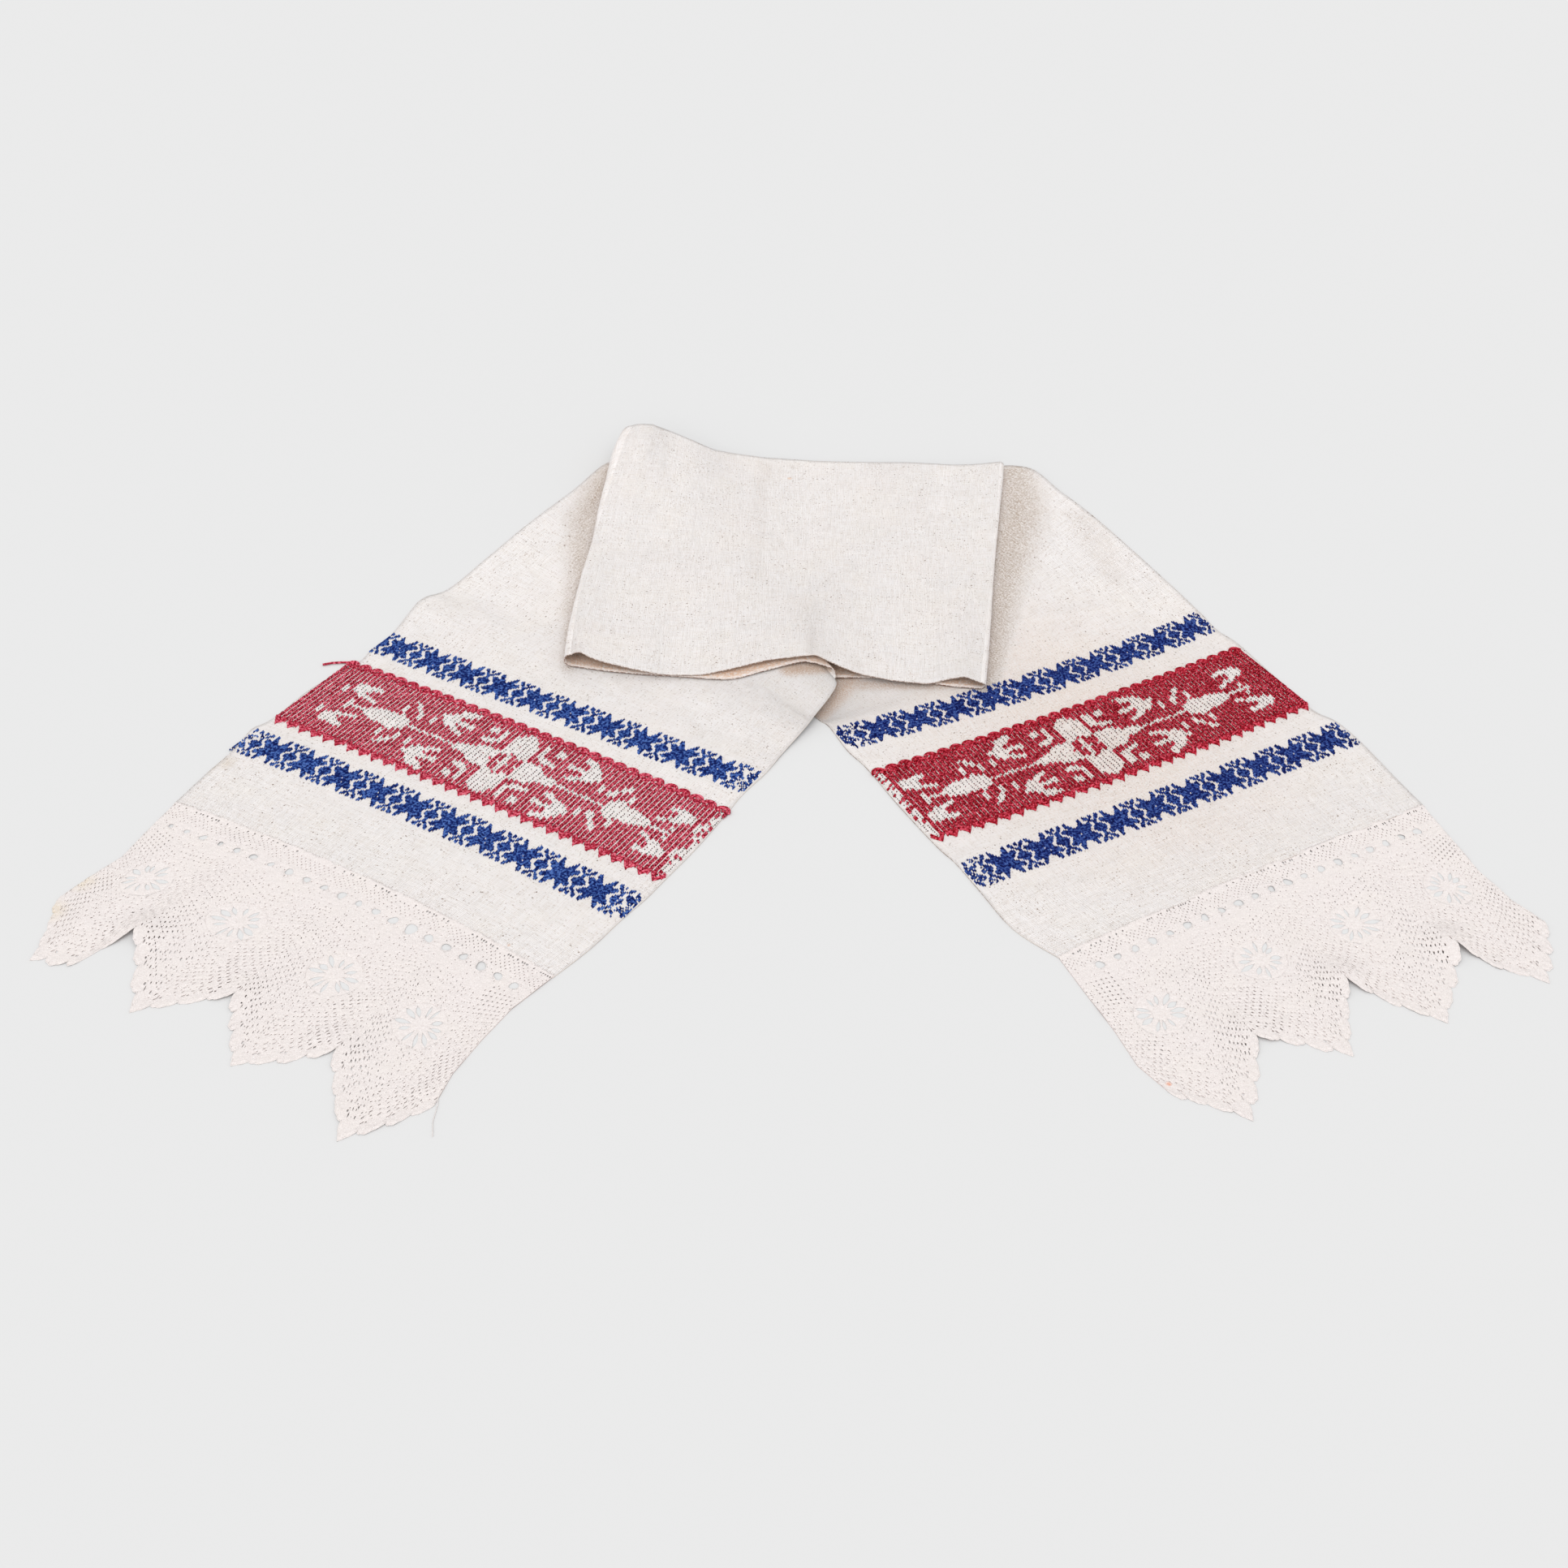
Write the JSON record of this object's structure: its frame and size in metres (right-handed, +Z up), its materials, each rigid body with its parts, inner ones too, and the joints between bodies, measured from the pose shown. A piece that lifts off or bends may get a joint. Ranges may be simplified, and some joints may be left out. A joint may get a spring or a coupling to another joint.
{
  "type": "decorative wall towel",
  "caption": "Long linen towel, folded flat with crossed arms, with woven star borders and pointed crochet lace ends.",
  "frame": {"origin": "centre of the folded towel's footprint, on the surface that it lies on", "axes": "+Z up; the arms and their lace ends spread towards -Y, the raised corner is at the back left"},
  "size_m": [1.1627, 0.957, 0.0354],
  "materials": {
    "linen": "matt handwoven cloth",
    "cotton_left": "matt crocheted cotton thread",
    "cotton_right": "matt crocheted cotton thread"
  },
  "bodies": {
    "root": {"towel_cloth": "linen", "lace_left": "cotton_left", "lace_right": "cotton_right"}
  },
  "joints": []
}
